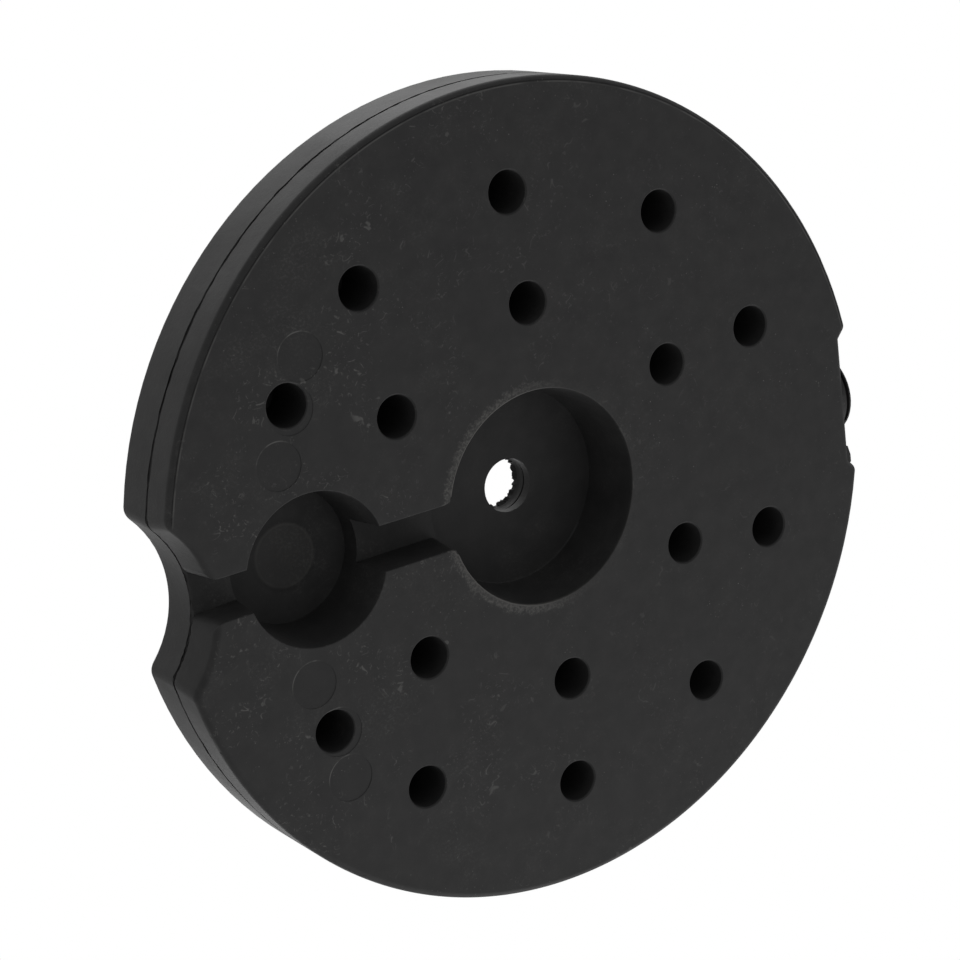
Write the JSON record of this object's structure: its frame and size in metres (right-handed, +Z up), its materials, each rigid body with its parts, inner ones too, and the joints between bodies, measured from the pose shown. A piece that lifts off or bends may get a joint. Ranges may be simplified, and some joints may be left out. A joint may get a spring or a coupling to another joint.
{
  "type": "lamp base",
  "caption": "Thick round moulded rubber foot of a lamp, with a bored recess under the tube, cord channels running to a notch in the rim, and blind core holes beneath.",
  "frame": {"origin": "centre of the underside, on the axis of the bore", "axes": "+Z up out of the top face along the bore, -X towards the cord notch, +X towards the flat with the stub"},
  "size_m": [0.294, 0.3, 0.035],
  "materials": {
    "base_body": "matte"
  },
  "bodies": {
    "root": {"base_body": "base_body"}
  },
  "joints": []
}
